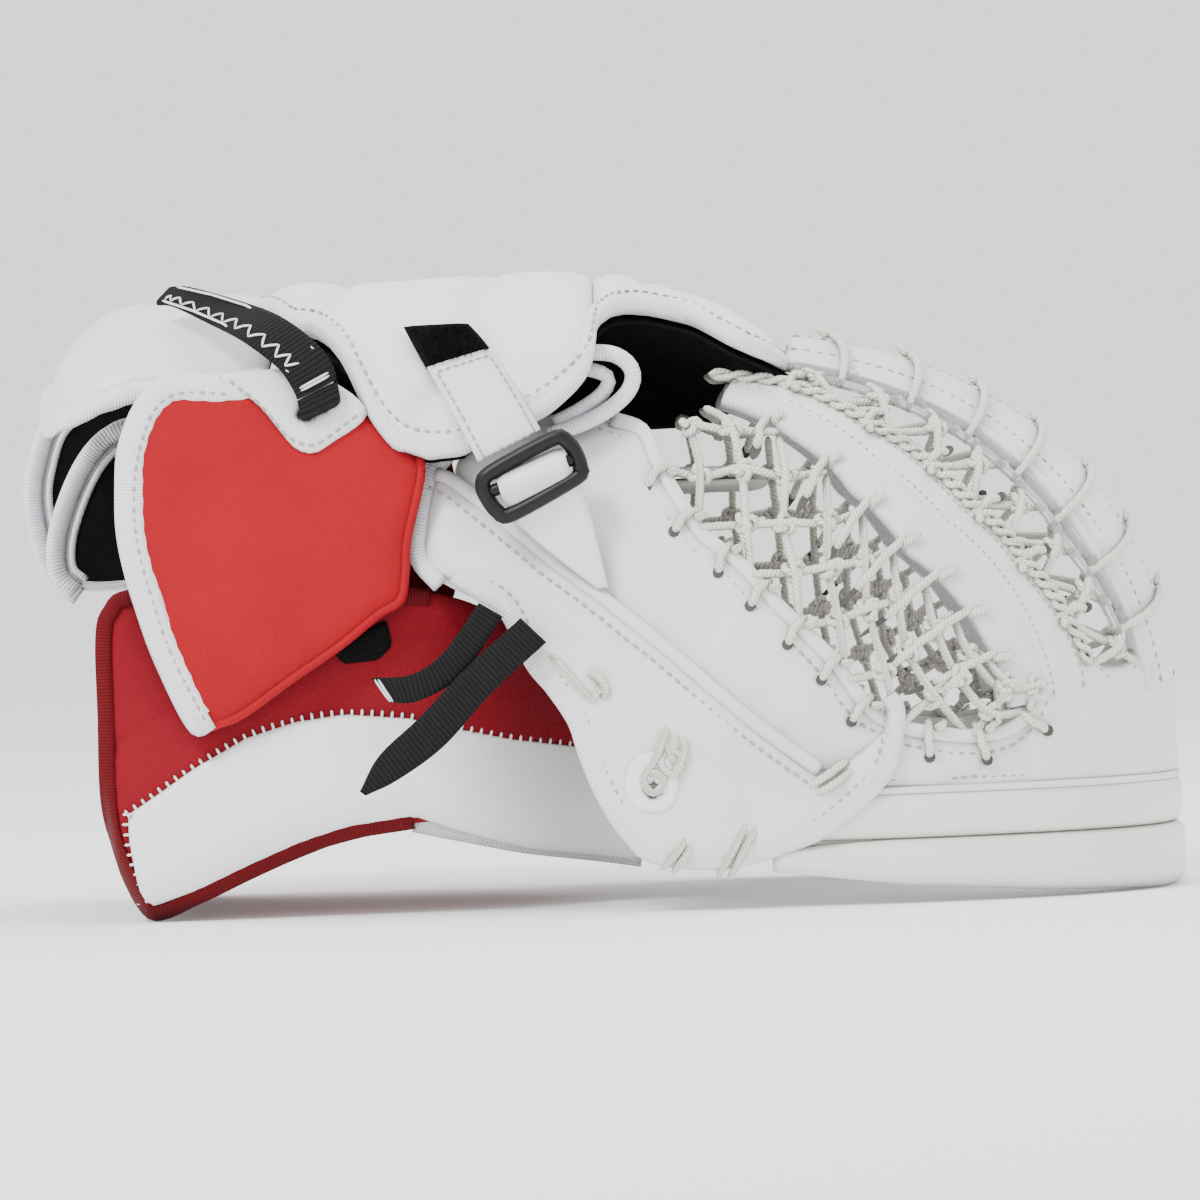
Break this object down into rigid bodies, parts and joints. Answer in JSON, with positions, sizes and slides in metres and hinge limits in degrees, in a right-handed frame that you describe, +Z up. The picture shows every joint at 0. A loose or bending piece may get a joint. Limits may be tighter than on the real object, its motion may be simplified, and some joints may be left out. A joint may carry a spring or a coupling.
{
  "type": "goalie catch glove",
  "caption": "Ice hockey goalie's catching glove for the left hand: padded cuff, hinged thumb and finger walls, laced net pocket and strapped wrist.",
  "frame": {"origin": "centre of the glove's footprint, on the surface it lies on", "axes": "+X from the cuff to the pocket's tip, +Z up through the back of the hand, -Y is the thumb side"},
  "size_m": [0.4, 0.2355, 0.217],
  "materials": {
    "white_leather": "smooth coated synthetic leather",
    "red_nylon": "woven ballistic nylon",
    "white_nylon": "foam-backed nylon",
    "black_webbing": "ribbed webbing",
    "hook_tape": "hook-and-loop tape",
    "black_plastic": "moulded, satin",
    "lining": "brushed lining",
    "foam": "dense foam",
    "stiffener": "sheet plastic",
    "lace": "round braided cord, waxed",
    "clear_plastic": "clear tube",
    "washer": "leather washer"
  },
  "bodies": {
    "hand": {"palm_board": "stiffener", "palm_leather": "white_leather", "heel_pad": "foam", "heel_leather": "white_leather", "back_pad": "white_nylon", "knuckle_pad": "white_nylon", "ridge_strip": "white_leather", "ridge_core": "stiffener", "near_strip": "white_leather", "far_strip": "white_leather", "clear_tube_outer": "clear_plastic", "clear_tube_inner": "clear_plastic", "middle_net": "lace", "far_middle_net": "lace", "thumb_side_net": "lace", "finger_side_net": "lace", "tip_wall": "white_leather", "tip_rim_upper": "white_leather", "tip_rim_lower": "white_leather", "outer_wrist_wrap": "white_nylon", "inner_wrist_wrap": "white_nylon", "wrist_cloth": "white_nylon", "thumb_strap": "white_leather", "elastic_tab": "white_nylon"},
    "thumb": {"thumb_wall_foam": "foam", "thumb_plate": "stiffener", "thumb_panel": "white_leather", "thumb_apron": "white_leather", "thumb_stall": "lining", "thumb_rim_upper": "white_leather", "thumb_rim_lower": "white_leather", "apron_laces": "lace", "lace_washer": "washer"},
    "fingers": {"finger_wall_foam": "foam", "finger_plate": "stiffener", "finger_panel": "white_leather", "finger_rim_upper": "white_leather", "finger_rim_lower": "white_leather", "finger_stall_index": "lining", "finger_stall_middle": "lining", "finger_stall_ring": "lining", "finger_stall_little": "lining"},
    "cuff": {"cuff_shell": "red_nylon", "cuff_liner": "lining", "cuff_panel": "white_leather", "cuff_hook_tab": "hook_tape"},
    "wrist_flap": {"wrist_flap": "red_nylon", "flap_yoke": "white_leather"},
    "wrist_strap": {"wrist_strap": "black_webbing"},
    "top_wrap": {"top_wrist_wrap": "white_leather", "top_wrap_lining": "lining"},
    "hand_tab": {"hand_tab": "white_leather", "hook_patch": "hook_tape"},
    "buckle": {"buckle": "black_plastic"},
    "upper_tail": {"adjusting_strap_upper": "black_webbing"},
    "lower_tail": {"adjusting_strap_lower": "black_webbing"}
  },
  "joints": [
    {"name": "thumb_close", "type": "hinge", "parent": "hand", "child": "thumb", "pos_m": [0, -0.05, 0.168], "axis": [1, 0, 0], "range_deg": [0, 22], "deforming": ["thumb_side_net"]},
    {"name": "finger_close", "type": "hinge", "parent": "hand", "child": "fingers", "pos_m": [0, 0.058, 0.168], "axis": [1, 0, 0], "range_deg": [-22, 0], "deforming": ["finger_side_net"]},
    {"name": "cuff_flex", "type": "hinge", "parent": "hand", "child": "cuff", "pos_m": [-0.03, 0.004, 0.075], "axis": [0, 1, 0], "range_deg": [-8, 6]},
    {"name": "wrist_flap_open", "type": "hinge", "parent": "hand", "child": "wrist_flap", "pos_m": [-0.096, -0.097, 0.086], "axis": [0.8348, 0, 0.5505], "range_deg": [0, 60]},
    {"name": "wrist_strap_peel", "type": "hinge", "parent": "wrist_flap", "child": "wrist_strap", "pos_m": [-0.0935, -0.1022, 0.1748], "axis": [0.9117, 0, 0.4109], "range_deg": [0, 100]},
    {"name": "top_wrap_open", "type": "hinge", "parent": "hand", "child": "top_wrap", "pos_m": [-0.15, 0.064, 0.194], "axis": [1, 0, 0], "range_deg": [0, 18]},
    {"name": "hand_tab_peel", "type": "hinge", "parent": "buckle", "child": "hand_tab", "pos_m": [-0.029, -0.1068, 0.1593], "axis": [0.8608, 0, 0.5089], "range_deg": [0, 100]},
    {"name": "buckle_swing", "type": "hinge", "parent": "hand", "child": "buckle", "pos_m": [-0.0195, -0.1098, 0.1385], "axis": [0.9019, 0, 0.432], "range_deg": [0, 35]},
    {"name": "upper_tail_swing", "type": "hinge", "parent": "hand", "child": "upper_tail", "pos_m": [-0.037, -0.112, 0.1035], "axis": [0, 1, 0], "range_deg": [-25, 15]},
    {"name": "lower_tail_swing", "type": "hinge", "parent": "hand", "child": "lower_tail", "pos_m": [-0.0225, -0.112, 0.096], "axis": [0, 1, 0], "range_deg": [-20, 15]}
  ],
  "couplings": [
    {"joint": "finger_close", "follows": "thumb_close", "ratio": -1},
    {"joint": "top_wrap_open", "follows": "wrist_flap_open", "ratio": 0.3}
  ]
}
